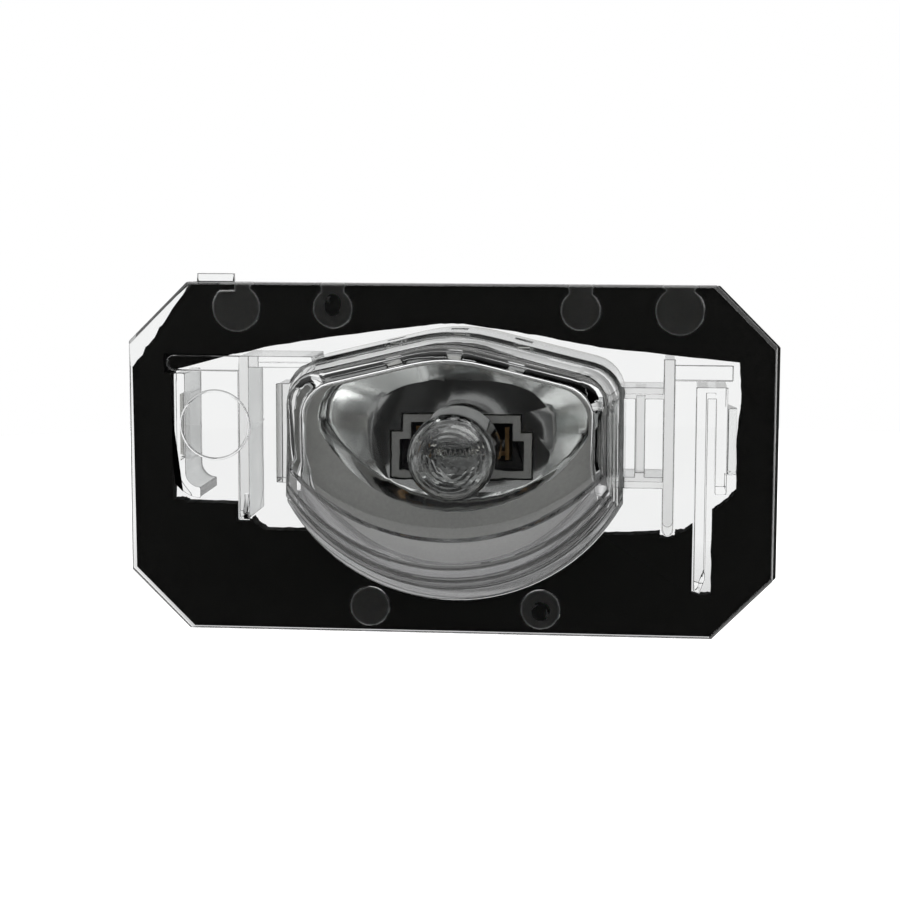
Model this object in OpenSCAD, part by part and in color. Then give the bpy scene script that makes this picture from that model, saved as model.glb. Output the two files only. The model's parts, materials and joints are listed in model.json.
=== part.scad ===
// Number plate lamp, pushed into a cut-out from the front.
// X runs to the right and Z up, seen from the front. The lens faces -Y.
// The origin is the centre of the gasket's back face, which lies on the vehicle's panel.

/* [Flange] */
// Width of the flange along X
flange_w = 76; // [74:0.5:84]
// Height of the flange along Z
flange_h = 41.4; // [40.4:0.2:48]
// Thickness of the flange
flange_t = 2; // [1.4:0.1:3]
// Cut taken off each corner of the flange
corner_cut = 7; // [5:0.1:8]
// Bevel round the front edge of the flange
edge_bevel = 0.6; // [0.2:0.1:0.8]
// Distance of the small tab from the flange's left end
tab_in = 8.2; // [7.2:0.1:16]
// Length of the small tab
tab_l = 4.4; // [2:0.1:8]
// How far the small tab stands above the flange
tab_rise = 1; // [0.5:0.1:2]
// Thickness of the small tab
tab_t = 1.1; // [0.6:0.1:1.3]

/* [Pads in the back of the flange] */
// Depth of the round pads
pad_depth = 0.3; // [0.1:0.05:0.6]
// Radius of the two outer pads
pad_large_r = 2.85; // [2:0.05:3]
// Radius of the four inner pads
pad_small_r = 2.35; // [1.5:0.05:2.6]
// Distance of the pad centres from the long edges
pad_inset = 3; // [2.9:0.05:3.1]
// Places of the four top pads along the flange, as shares of its half width
top_pad_at = [-0.663, -0.361, 0.403, 0.705];
// Places of the two lower pads, as shares of the half width
low_pad_at = [-0.247, 0.287];
// Width of the neck from a top pad to the edge, as a share of the pad's width
neck_share = 0.6; // [0.4:0.05:0.8]

/* [Lens] */
// Centre of the lens and the bulb, to the right of the flange's centre
lens_x = 0.6; // [0.2:0.1:1]
// Half width of the lens where it leaves the flange
lens_half_w = 19.4; // [18.8:0.1:19.8]
// Distance of the lens's peak from the flange's top edge
lens_top_rim = 6.1; // [5.7:0.1:6.7]
// Height at which the lower arc meets the upright sides
lens_side_z = -4.9; // [-6:0.1:-4]
// Distance of the lens's lowest point from the flange's bottom edge
lens_low_rim = 4.4; // [3.9:0.1:5.2]
// Slope of the two top edges, in degrees
roof_slope = 13.5; // [10:0.5:16]
// Radius of the two shoulders
shoulder_r = 4; // [3:0.1:5]
// Radius of the blunt peak
peak_r = 18; // [12:0.5:24]
// How far the lens stands out from the flange
lens_rise = 9.5; // [9:0.1:11]
// How far the middle of the window bulges over its rim
crown = 0.6; // [0.2:0.1:1]
// Wall of the lens
lens_wall = 1.8; // [1.5:0.1:2]
// Inward lean of the upright sides over the rise
side_draft = 1.2; // [0.5:0.1:1.6]
// Inward lean of the top over the rise
top_draft = 0.4; // [0.2:0.1:1]
// Radius of the rounded front edge
front_round = 1.4; // [0.8:0.1:1.8]
// Radius of the same edge inside the lens
inside_round = 0.6; // [0.3:0.1:1.4]
// Widths of the prism bands, from the window down
prism_bands = [3.3, 3.4, 1.6, 1.3, 1.9];
// How much higher the ends of the window's lower edge lie than those of the outer arc
side_lift = 6.5; // [5:0.1:8]
// Slope left on each prism band, as a rise for each millimetre of its width
band_slope = 0.14; // [0.08:0.02:0.24]
// Half of the width that each prism step takes, seen from the front
step_lean = 0.3; // [0.1:0.05:0.4]

/* [Collar] */
// Depth of the collar behind the flange
collar_depth = 9.5; // [9:0.1:11]
// Wall of the collar
collar_wall = 1.5; // [1.2:0.1:1.7]
// How far the collar lies outside the lens outline
collar_grow = 0.4; // [0.2:0.1:0.8]
// Width of the three snap windows
snap_w = 2; // [1.6:0.1:2.6]
// Distance of the outer snap windows from the middle one
snap_pitch = 7.7; // [6:0.1:9]
// Distance of the snap windows from the collar's back end
snap_back = 3; // [2.5:0.1:4]
// Length of a snap window
snap_l = 2.4; // [2:0.1:3]

/* [Lugs] */
// Thickness of the lug walls
lug_t = 1.2; // [1:0.1:1.4]
// Depth of the lug walls behind the flange
lug_depth = 10; // [8:0.1:12]
// Place of the left lug, as a share of the way from the flange's left end to the collar
left_lug_at = 0.2766; // [0.27:0.005:0.32]
// Top of the left lug, below the flange's top edge
left_lug_drop = 10.9; // [10.7:0.1:12.7]
// Bottom of the left lug
left_lug_low = -5; // [-5.4:0.1:-4]
// Place of the left guide, as a share of the way from the flange's left end to the collar
left_guide_at = 0.6862; // [0.64:0.01:0.74]
// Bottom of the left guide
left_guide_low = -7.5; // [-8:0.1:-6.5]
// Top of the left guide and of its top wall, below the flange's top edge
left_guide_drop = 8.8; // [8.5:0.1:9.1]
// Place of the left rib's end, as a share of the way from the flange's left end to the collar
left_rib_at = 0.2287; // [0.215:0.005:0.24]
// Depth of the two flat ribs
rib_depth = 1.2; // [0.8:0.1:2]
// Place of the right guide, as a share of the way from the flange's right end to the collar
right_guide_at = 0.733; // [0.71:0.01:0.77]
// Bottom of the right guide
right_guide_low = -8.6; // [-9:0.1:-7.5]
// Top of the right guide, below the flange's top edge
right_guide_drop = 8.7; // [8.5:0.1:9.3]
// Top of the bridge walls between the collar and the right guide, below the flange's top edge
bridge_drop = 12; // [11.2:0.1:12.7]
// Bottom of the lower bridge wall
bridge_low = -3; // [-4:0.1:-2]
// Place of the latch blade, as a share of the way from the flange's right end to the collar
blade_at = 0.517; // [0.5:0.005:0.54]
// Bottom of the latch blade, above the flange's bottom edge
blade_rise = 5.6; // [5.1:0.1:6.7]
// Top of the latch blade and of the right lug, below the flange's top edge
blade_drop = 13.1; // [12.5:0.1:13.7]
// Place of the right lug, as a share of the way from the flange's right end to the collar
right_lug_at = 0.3864; // [0.37:0.005:0.4]
// Bottom of the right lug
right_lug_low = -3.6; // [-4:0.1:-3]
// Middle of the right rib, below the flange's top edge
right_rib_drop = 10.2; // [9.9:0.1:10.7]
// Height of the two flat ribs
rib_h = 1.7; // [1.2:0.1:2]
// How far the two hooks stand out from the lugs
hook_out = 1.3; // [0.8:0.1:1.6]
// Thickness of the panel that the hooks grip behind the gasket
panel_t = 2; // [2:0.1:3]

/* [Gasket] */
// Thickness of the foam gasket
gasket_t = 2.5; // [1.5:0.1:3.5]
// How far the gasket is stuck off centre, to the right
gasket_off = 0.4; // [0:0.1:1]
// Extra height of the gasket's top left corner cut
gasket_cut_more = 3; // [0:0.1:4]
// Clearance of the gasket round the collar and the lug walls
gasket_gap = 0.3; // [0.2:0.05:0.5]

/* [Reflector] */
// Wall of the reflector bowl
bowl_wall = 1.2; // [0.9:0.1:1.4]
// How far the peak of the bowl's mouth lies inside the lens wall
mouth_inset = 0.5; // [0.3:0.1:0.8]
// How far each side of the mouth lies inside the lens's side
mouth_side_in = 3.2; // [2.8:0.1:3.6]
// Height at which the mouth's lower arc meets its sides, above the same place of the lens
mouth_side_rise = 8.5; // [8:0.1:9]
// Lowest point of the mouth, above the lens's lowest point
mouth_low_rise = 9.8; // [9:0.1:9.8]
// Radius of the mouth's shoulders
mouth_shoulder_r = 5; // [3:0.5:6]
// Half width of the bowl's flat back
bowl_back_rx = 11; // [10.6:0.1:11.6]
// Top of the bowl's flat back, above the bulb's centre
bowl_back_top = 8; // [7.5:0.1:8.4]
// Bottom of the bowl's flat back, below the bulb's centre
bowl_back_low = -6.2; // [-6.4:0.1:-6]
// Squareness of the flat back's outline, where 2 is an ellipse
bowl_back_square = 3; // [2.9:0.1:4]
// Rise of the curved wall round the flat back, for each millimetre outwards
bowl_slope = 0.55; // [0.4:0.05:0.7]
// How fast the curved wall steepens outwards
bowl_curve = 0.035; // [0.01:0.005:0.06]
// Thickness of the lip that lies on the flange
lip_t = 1.2; // [0.8:0.1:1.8]
// Thickness of the cap that closes the collar
cap_t = 1.5; // [1.2:0.1:2]
// Clearance between the lip and the collar
lip_gap = 0.15; // [0.1:0.01:0.25]

/* [Bulb holder] */
// Half width of the lower part of the stepped socket wall
socket_half_w = 8.6; // [8.3:0.1:9]
// How much narrower the upper part is, on each side
socket_step = 1.4; // [1:0.1:1.8]
// Height of the step above the bulb's centre
socket_shoulder = 1.5; // [1.2:0.1:2]
// Top of the socket wall above the bulb's centre
socket_top = 3.7; // [3.5:0.1:4]
// Bottom of the socket wall below the bulb's centre
socket_low = -4.4; // [-4.8:0.1:-4.1]
// Thickness of the socket wall
socket_wall = 1; // [0.8:0.1:1.1]
// Clearance between the socket wall and the reflector
socket_gap = 0.2; // [0.1:0.05:0.3]
// Width of the holder's plate
plate_w = 26; // [24:0.5:28]
// Height of the holder's plate
plate_h = 17; // [16:0.5:19]
// Thickness of the holder's plate
plate_t = 1.6; // [1.2:0.1:2]
// Width of the holder's body
body_w = 16; // [15:0.2:17]
// Height of the holder's body
body_h = 10; // [9.6:0.2:11]
// Depth of the socket behind the collar's end
socket_depth = 10; // [9.5:0.1:11]
// Wall behind the socket, with the bends of the contacts in it
floor_t = 2; // [1.8:0.1:2.5]
// Depth of the connector shroud
shroud_l = 9; // [8:0.5:12]
// Wall of the connector shroud
shroud_wall = 1.2; // [1:0.1:1.5]
// Thickness of the holder's seal
seal_t = 0.8; // [0.6:0.1:1.2]
// Width of a snap hook that holds the plate
clip_w = 6; // [4:0.5:8]

/* [Contacts] */
// Thickness of the contact strip
strip_t = 0.5; // [0.4:0.05:0.6]
// Inner face of the contact's upright web, from the bulb's centre
web_x = 5.2; // [5:0.05:5.3]
// Inner end of the contact's two leaves
leaf_x = 3; // [2.6:0.1:3.4]
// Half gap between the two leaves
leaf_gap = 1.6; // [1.58:0.01:1.7]
// How far the leaves start behind the front edge of the web
leaf_back = 4; // [0:0.1:4.5]
// Centre of a connector blade, from the bulb's centre
pin_x = 2.8; // [2.7:0.05:3]
// Thickness of a connector blade
pin_t = 0.8; // [0.6:0.1:0.8]
// Width of a connector blade
pin_w = 2.8; // [2:0.1:3]
// Length of a connector blade in the shroud
pin_l = 6.5; // [5:0.5:7.5]

/* [Bulb] */
// Height of the bulb's centre above the flange's centre
bulb_z = 0.6; // [0.4:0.1:0.8]
// Diameter of the glass
bulb_d = 10.3; // [10:0.1:10.5]
// Length of the bulb over all
bulb_l = 26; // [25.5:0.1:26.3]
// Wall of the glass
glass_t = 0.7; // [0.5:0.05:0.9]
// Width of the wedge base
wedge_w = 9.5; // [9.3:0.05:9.7]
// Thickness of the wedge base
wedge_t = 2.1; // [2:0.02:2.2]
// Length of the wedge base
wedge_l = 8.5; // [8:0.1:8.8]
// Length over which the glass is pinched flat
pinch_l = 3.5; // [3:0.1:4]
// Length of the rounded tip
tip_l = 4; // [3:0.1:5]
// Radius of the lead wires
wire_r = 0.2; // [0.15:0.01:0.22]
// Distance of a lead from the bulb's centre, in the bead
lead_x = 1.6; // [1.4:0.05:2]
// Distance of a lead from the bulb's centre, in the base
spread_x = 3.5; // [3.3:0.05:3.6]
// Half length of the filament
filament_half = 2.6; // [2.2:0.1:3]
// Distance of the filament behind the bulb's tip
filament_back = 8; // [7:0.1:9]
// Distance of the glass bead's middle behind the bulb's tip
bead_back = 10.8; // [10.4:0.1:11.2]
// Radius of the glass bead
bead_r = 0.9; // [0.6:0.05:1.1]

/* [Hidden] */
$fn = 48;
eps = 0.01;
tiny = 1e-9;
touch = 0.02;

// Places along Y, from the front to the back
flange_back = -gasket_t;
flange_front = flange_back - flange_t;
rim_rise = lens_rise - crown;
collar_end = flange_back + collar_depth;
cap_end = collar_end + cap_t;
seal_end = cap_end + seal_t;
plate_end = seal_end + plate_t;
socket_floor = collar_end + socket_depth;
shroud_floor = socket_floor + floor_t;
shroud_end = shroud_floor + shroud_l;
lug_end = flange_back + lug_depth;
hook_front = panel_t + 0.2;

// Places along the bulb
fold_room = 0.6;
base_end = socket_floor - fold_room;
bulb_tip = base_end - bulb_l;
wedge_start = base_end - wedge_l;
pinch_start = wedge_start - pinch_l;
pinch_r = bulb_d / 2 - 0.35;
filament_y = bulb_tip + filament_back;
bead_y = bulb_tip + bead_back;

// Steps round an outline
arc_n = 32;
corner_n = 6;
peak_n = 6;
ring_n = arc_n + 2 * corner_n + peak_n + 4;
ray_n = 72;

// Edges of the flange and heights on it
half_w = flange_w / 2;
half_h = flange_h / 2;
lens_peak_z = half_h - lens_top_rim;
lens_low_z = lens_low_rim - half_h;
left_lug_top = half_h - left_lug_drop;
left_guide_top = half_h - left_guide_drop;
right_guide_top = half_h - right_guide_drop;
bridge_top = half_h - bridge_drop;
blade_low = blade_rise - half_h;
blade_top = half_h - blade_drop;
right_rib_z = half_h - right_rib_drop;

// Outer faces of the collar, and the lug walls between them and the flange's ends
collar_left = lens_x - lens_half_w - collar_grow;
collar_right = lens_x + lens_half_w + collar_grow;
left_room = collar_left + half_w;
right_room = half_w - collar_right;
left_lug_x = left_lug_at * left_room - half_w;
left_guide_x = left_guide_at * left_room - half_w;
left_rib_x = left_rib_at * left_room - half_w;
right_guide_x = half_w - right_guide_at * right_room;
blade_x = half_w - blade_at * right_room;
right_lug_x = half_w - right_lug_at * right_room;

// Places of the pads along X, each with its radius
top_pad_r = [pad_large_r, pad_small_r, pad_small_r, pad_large_r];
top_pads = [for (i = [0:3]) [top_pad_at[i] * half_w, top_pad_r[i]]];
low_pads = [for (at = low_pad_at) [at * half_w, pad_small_r]];

// The gasket's opening, as it was cut: its edge a little way from the collar and the lugs
opening_edge = [[left_lug_x - 0.3, left_lug_top + 0.4], [collar_left - 2.7, left_guide_top + 1.2],
                [lens_x - 13.6, lens_peak_z - 0.1], [lens_x - 1.6, lens_peak_z + 1.4],
                [lens_x + 1.4, lens_peak_z + 1.4], [lens_x + 10, lens_peak_z + 0.1],
                [lens_x + 17, lens_peak_z - 1.2], [right_guide_x - 0.6, right_guide_top + 0.7],
                [right_lug_x + 2.6, right_guide_top - 0.2], [right_lug_x + 2.9, blade_top - 0.2],
                [right_lug_x + 2.4, blade_top - 4.9], [right_lug_x + 2.5, right_lug_low + 0.4],
                [right_lug_x + 1.5, right_lug_low - 0.7], [right_lug_x + 0.1, right_lug_low - 1.8],
                [right_guide_x + 2.6, right_guide_low + 0.5], [collar_right + 0.9, right_guide_low],
                [collar_left - 2.8, left_guide_low - 1.3], [left_guide_x + 1.9, left_guide_low - 0.5],
                [left_guide_x + 0.5, left_lug_low - 0.7], [left_lug_x + 1.4, left_lug_low - 0.6],
                [left_lug_x + 0.3, left_lug_low], [left_lug_x - 0.2, left_lug_low + 1.6]];

function sum(v, n) = n <= 0 ? 0 : v[n - 1] + sum(v, n - 1);

function arc(c, r, a0, a1, n) =
    [for (i = [0:n]) let (a = a0 + (a1 - a0) * i / n) c + r * [cos(a), sin(a)]];

// The lens outline in X and Z: lower arc, upright sides, round shoulders and a blunt peak
function lens_outline(hw, side_z, low_z, peak_z, sr, pr) =
    let (sag = side_z - low_z,
         big_r = (hw * hw + sag * sag) / (2 * sag),
         half = asin(hw / big_r),
         s = roof_slope,
         cx = hw - sr,
         roof_z = peak_z - pr + pr * cos(s) - tan(s) * (cx + (sr - pr) * sin(s)),
         cz = roof_z - sr * cos(s))
    concat(arc([0, low_z + big_r], big_r, 270 - half, 270 + half, arc_n),
           arc([cx, cz], sr, 0, 90 - s, corner_n),
           arc([0, peak_z - pr], pr, 90 - s, 90 + s, peak_n),
           arc([-cx, cz], sr, 90 + s, 180, corner_n));

// The lens outline at the flange, moved outwards by g
function base_outline(g) =
    lens_outline(lens_half_w + g, lens_side_z, lens_low_z - g, lens_peak_z + g,
                 shoulder_r + g, peak_r + g);

// A ring of points in space, low along the bottom arc and high over the rest
function ring(outline, low_y, top_y) =
    [for (i = [0:ring_n - 1])
        [lens_x + outline[i][0], i <= arc_n ? low_y : top_y, outline[i][1]]];

// Rise and inset of a wall that ends in a round edge, at share f of its way
function edge_path(f, h, r) =
    let (knee = 0.55, a = 90 * (f - knee) / (1 - knee))
    f < knee ? [(h - r) * f / knee, 0] : [h - r + r * sin(a), r * (1 - cos(a))];

band_sum = sum(prism_bands, len(prism_bands));

// Height of the lens at distance d below the window's lower edge
function arch_rise(d) = rim_rise * sqrt(1 - pow(d / (band_sum * 1.04), 2));

// Distance and height of each corner of the prism steps, from the flange to the window
prism_path = concat([[band_sum, 0]],
    [for (k = [len(prism_bands):-1:1])
        let (d = sum(prism_bands, k), h = arch_rise(d))
        each [[d - step_lean, h],
              [sum(prism_bands, k - 1) + step_lean,
               min(h + band_slope * (prism_bands[k - 1] - 2 * step_lean), rim_rise)]]],
    [[0, rim_rise]]);

// One ring of the outer surface
function outer_ring(i) =
    let (d = prism_path[i][0],
         p = edge_path(i / (len(prism_path) - 1), rim_rise, front_round),
         lean = p[0] / rim_rise,
         inset = side_draft * lean + p[1])
    ring(lens_outline(lens_half_w - inset, lens_side_z + side_lift * (1 - d / band_sum),
                      lens_low_z + band_sum - d, lens_peak_z - top_draft * lean - p[1],
                      shoulder_r, peak_r),
         flange_front - prism_path[i][1], flange_front - p[0]);

// One ring of the inner surface, which is smooth
inner_n = 7;
inner_rise = rim_rise - lens_wall;
function inner_ring(i) =
    let (a = 90 * i / inner_n,
         p = edge_path(i / inner_n, inner_rise, inside_round),
         lean = p[0] / rim_rise,
         inset = lens_wall + side_draft * lean + p[1])
    ring(lens_outline(lens_half_w - inset, lens_side_z + side_lift * (1 - cos(a)),
                      lens_low_z + lens_wall + band_sum * (1 - cos(a)),
                      lens_peak_z - lens_wall - top_draft * lean - p[1],
                      shoulder_r, peak_r),
         flange_front - inner_rise * sin(a), flange_front - p[0]);

// A ring drawn in towards the window's middle, for the crown
window_z = (lens_peak_z + lens_low_z + band_sum) / 2;
function crown_ring(r, share) =
    [for (q = r) [lens_x + (q[0] - lens_x) * share,
                  q[1] - crown * (1 - share * share),
                  window_z + (q[2] - window_z) * share]];

// Triangles between neighbouring rings of n points
function skin(n, m) =
    [for (k = [0:m - 2]) for (i = [0:n - 1])
        let (a = k * n + i, b = k * n + (i + 1) % n)
        each [[a, a + n, b + n], [a, b + n, b]]];

// Draws an outline in X and Z from y0 to y1
module slab(y0, y1) {
    translate([0, y1, 0]) rotate([90, 0, 0]) linear_extrude(y1 - y0) children();
}

module block(x0, x1, y0, y1, z0, z1) {
    translate([x0, y0, z0]) cube([x1 - x0, y1 - y0, z1 - z0]);
}

// Moves to the bulb's axis, with local Z along Y
module on_axis() {
    translate([lens_x, 0, bulb_z]) rotate([-90, 0, 0]) children();
}

// An eight-sided outline, with its top left cut longer by more
module octagon(w, h, cut, more = 0) {
    x = w / 2;
    z = h / 2;
    polygon([[-x, -z + cut], [-x + cut, -z], [x - cut, -z], [x, -z + cut], [x, z - cut],
             [x - cut, z], [-x + cut, z], [-x, z - cut - more]]);
}

module collar_ring(outer, inner, y0, y1) {
    translate([lens_x, 0, 0]) difference() {
        slab(y0, y1) polygon(base_outline(outer));
        slab(y0 - 1, y1 + 1) polygon(base_outline(inner));
    }
}

// Height of the collar's top, g outside the lens outline, at distance x from its middle
function roof_at(x, g) =
    let (s = roof_slope, pr = peak_r + g)
    lens_peak_z + g - pr + pr * cos(s) - tan(s) * (max(abs(x), pr * sin(s)) - pr * sin(s));

// A shallow round recess in the flange's back, with its neck to the long edge on side 1 or -1
module pad(at, r, side, neck) {
    w = neck_share * r;
    translate([at, 0, side * (half_h - pad_inset)])
        slab(flange_back - pad_depth, flange_back + 1) union() {
            circle(r);
            if (neck)
                polygon([[-w, 0], [w, 0], [w, pad_inset - 0.5], [w + 0.6, pad_inset + eps],
                         [-w - 0.6, pad_inset + eps], [-w, pad_inset - 0.5]]);
        }
}

module flange_plate() {
    bevelled = flange_w - 2 * edge_bevel;
    slim = flange_h - 2 * edge_bevel;
    difference() {
        union() {
            slab(flange_front + edge_bevel, flange_back) octagon(flange_w, flange_h, corner_cut);
            hull() {
                slab(flange_front, flange_front + eps) octagon(bevelled, slim, corner_cut);
                slab(flange_front + edge_bevel, flange_front + edge_bevel + eps)
                    octagon(flange_w, flange_h, corner_cut);
            }
        }
        translate([lens_x, 0, 0])
            slab(flange_front - 1, flange_back + 1) polygon(base_outline(-lens_wall / 2));
        for (p = top_pads) pad(p[0], p[1], 1, true);
        for (p = low_pads) pad(p[0], p[1], -1, false);
    }
}

// The domed shell: inner surface from the crown back to the flange, then the outer one out again
module lens_dome() {
    last = len(prism_path) - 1;
    foot = flange_back;
    inner_foot = [for (q = inner_ring(0)) [q[0], foot, q[2]]];
    outer_foot = [for (q = outer_ring(0)) [q[0], foot, q[2]]];
    inner_top = inner_ring(inner_n);
    outer_top = outer_ring(last);
    rings = concat([crown_ring(inner_top, 0.5)],
                   [for (i = [inner_n:-1:0]) inner_ring(i)],
                   [inner_foot, outer_foot],
                   [for (i = [0:last]) outer_ring(i)],
                   [crown_ring(outer_top, 0.5)]);
    m = len(rings);
    inner_apex = [lens_x, flange_front - inner_rise - crown, window_z];
    outer_apex = [lens_x, flange_front - lens_rise, window_z];
    count = m * ring_n;
    polyhedron(
        points = concat([for (r = rings) each r], [inner_apex, outer_apex]),
        faces = concat(skin(ring_n, m),
            [for (i = [0:ring_n - 1]) [i, (i + 1) % ring_n, count]],
            [for (i = [0:ring_n - 1])
                let (a = count - ring_n + i, b = count - ring_n + (i + 1) % ring_n)
                [a, count + 1, b]]));
}

module snap_windows(g) {
    for (i = [-1:1])
        translate([lens_x + i * snap_pitch, collar_end - snap_back - snap_l / 2 - g / 2,
                   roof_at(i * snap_pitch, 0)])
            translate([-snap_w / 2 - g / 2, 0, -2]) cube([snap_w + g, snap_l + g, 4]);
}

// The left lug: an upright wall whose foot curves in
module left_lug() {
    bend = 3;
    slab(flange_back - eps, lug_end) difference() {
        union() {
            translate([left_lug_x, left_lug_low + bend])
                square([bend, left_lug_top - left_lug_low - bend]);
            translate([left_lug_x + bend, left_lug_low + bend]) circle(bend);
        }
        translate([left_lug_x + bend, left_lug_low + bend]) circle(bend - lug_t);
        translate([left_lug_x + lug_t, left_lug_low + bend])
            square([2 * bend, left_lug_top - left_lug_low]);
        translate([left_lug_x + bend, left_lug_low - 1]) square([2 * bend, 3 * bend]);
    }
}

// A hook with a sloped back, for the outer face of a lug at x, towards side
module hook(x, side, z0, z1) {
    translate([x, 0, z0]) mirror([side < 0 ? 1 : 0, 0, 0])
        linear_extrude(z1 - z0)
            polygon([[-eps, hook_front], [hook_out, hook_front], [hook_out, hook_front + 1.2],
                     [0.3, lug_end], [-eps, lug_end]]);
}

module left_side() {
    guide_x1 = left_guide_x + lug_t;
    left_lug();
    hook(left_lug_x, -1, -1, 7);
    difference() {
        block(left_guide_x, guide_x1, flange_back - eps, lug_end, left_guide_low,
              left_guide_top);
        translate([left_guide_x - 1, lug_end, left_guide_low])
            rotate([45, 0, 0]) cube([lug_t + 2, 3, 3], center = true);
    }
    block(left_guide_x, collar_left + 2.9, flange_back - eps, lug_end - 0.5,
          left_guide_top - lug_t, left_guide_top);
    slab(flange_back - eps, flange_back + rib_depth) union() {
        translate([left_rib_x + rib_h / 2, left_guide_top - rib_h])
            square([left_guide_x - left_rib_x, rib_h]);
        translate([left_rib_x + rib_h / 2, left_guide_top - rib_h / 2]) circle(rib_h / 2);
    }
    block(collar_left - 1.3, collar_left + collar_wall / 2, flange_back - eps, lug_end - 4,
          bridge_low, bridge_top);
}

module right_side() {
    guide_x1 = right_guide_x + lug_t;
    collar_x = collar_right - collar_wall / 2;
    round_r = lug_t / 2;
    slab(flange_back - eps, lug_end) union() {
        translate([right_guide_x, right_guide_low + round_r])
            square([lug_t, right_guide_top - right_guide_low - round_r]);
        translate([right_guide_x + round_r, right_guide_low + round_r]) circle(round_r);
    }
    block(collar_x, right_guide_x + eps, flange_back - eps, lug_end - 2, bridge_top - lug_t,
          bridge_top);
    block(collar_x, right_guide_x + eps, flange_back - eps, lug_end - 2, bridge_low,
          bridge_low + lug_t);
    block(collar_x + 2.2, collar_x + 3.2, flange_back - eps, lug_end - 4, bridge_low,
          bridge_top);
    slab(flange_back - eps, lug_end)
        polygon([[blade_x, blade_low], [blade_x + lug_t * 0.5, blade_low - 0.2],
                 [blade_x + lug_t, blade_low + 1.4], [blade_x + lug_t, blade_top],
                 [blade_x, blade_top]]);
    block(right_lug_x, right_lug_x + lug_t, flange_back - eps, lug_end, right_lug_low,
          blade_top);
    hook(right_lug_x + lug_t, 1, -2, 6);
    block(blade_x, right_lug_x + lug_t, flange_back - eps, lug_end, blade_top - eps,
          blade_top + lug_t);
    block(guide_x1 - eps, right_lug_x + lug_t + 0.6, flange_back - eps,
          flange_back + rib_depth, right_rib_z - rib_h / 2, right_rib_z + rib_h / 2);
}

module lens_cover() {
    color([0.9, 0.93, 0.95, 0.4]) union() {
        flange_plate();
        lens_dome();
        difference() {
            collar_ring(collar_grow, collar_grow - collar_wall, flange_back - eps, collar_end);
            snap_windows(0);
        }
        block(tab_in - half_w, tab_in - half_w + tab_l, flange_back - tab_t, flange_back,
              half_h - 1, half_h + tab_rise);
        left_side();
        right_side();
    }
}

module flange_gasket() {
    color([0.06, 0.06, 0.06]) difference() {
        translate([gasket_off, 0, 0])
            slab(flange_back, 0) octagon(flange_w, flange_h - 0.4, corner_cut, gasket_cut_more);
        slab(flange_back - 1, 1) polygon(opening_edge);
        translate([lens_x, 0, 0])
            slab(flange_back - 1, 1) polygon(base_outline(collar_grow + gasket_gap));
        block(left_guide_x - gasket_gap, left_guide_x + lug_t + gasket_gap, flange_back - 1, 1,
              left_guide_low - gasket_gap, 0);
        block(left_lug_x - gasket_gap, 0, flange_back - 1, 1, left_lug_low - gasket_gap,
              left_lug_top + gasket_gap);
        block(left_rib_x - gasket_gap, 0, flange_back - 1, flange_back + rib_depth + 0.1,
              left_guide_top - rib_h - gasket_gap, left_guide_top + gasket_gap);
        block(right_guide_x - gasket_gap, right_guide_x + lug_t + gasket_gap, flange_back - 1,
              1, right_guide_low - gasket_gap, 0);
        block(blade_x - gasket_gap, blade_x + lug_t + 0.8, flange_back - 1, 1,
              blade_low - gasket_gap - 0.2, 0);
    }
}

// The outline of the bowl's mouth, moved outwards by g
function mouth_outline(g) =
    lens_outline(lens_half_w - mouth_side_in + g, lens_side_z + mouth_side_rise,
                 lens_low_z + mouth_low_rise - g, lens_peak_z - lens_wall - mouth_inset + g,
                 mouth_shoulder_r + g, peak_r + g);

// The outline of the bowl's flat back, a squared ellipse, moved outwards by g
function back_outline(g) =
    let (rz = (bowl_back_top - bowl_back_low) / 2 + g,
         mid = bulb_z + (bowl_back_top + bowl_back_low) / 2,
         power = 2 / bowl_back_square)
    [for (k = [0:ray_n - 1]) let (a = 360 * k / ray_n, c = cos(a), s = sin(a))
        [(bowl_back_rx + g) * sign(c) * pow(abs(c), power),
         mid + rz * sign(s) * pow(abs(s), power)]];

// Distance from the bulb's axis to an outline along the ray at angle a
function reach(outline, a) =
    let (d = [cos(a), sin(a)], n = len(outline))
    max([for (i = [0:n - 1])
        let (p = outline[i] - [0, bulb_z],
             e = outline[(i + 1) % n] - outline[i],
             w = d[0] * e[1] - d[1] * e[0],
             along = abs(w) < tiny ? -1 : (p[0] * d[1] - p[1] * d[0]) / w,
             far = abs(w) < tiny ? -1 : (p[0] * e[1] - p[1] * e[0]) / w)
        if (far > 0 && along > -tiny && along < 1 + tiny) far]);

function reaches(outline) = [for (k = [0:ray_n - 1]) reach(outline, 360 * k / ray_n)];

// A ring at the distances and the depths given along the rays
function ray_ring(far, deep) =
    [for (k = [0:ray_n - 1]) let (a = 360 * k / ray_n)
        [lens_x + far[k] * cos(a), deep[k], bulb_z + far[k] * sin(a)]];

// The same depth on every ray
function level(y) = [for (k = [0:ray_n - 1]) y];

// Depths of the curved wall at the distances given, which rises round the flat back's edge
function wall_depths(far, edge) =
    [for (k = [0:ray_n - 1]) let (out = far[k] - edge[k])
        collar_end - bowl_slope * out - bowl_curve * out * out];

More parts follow.
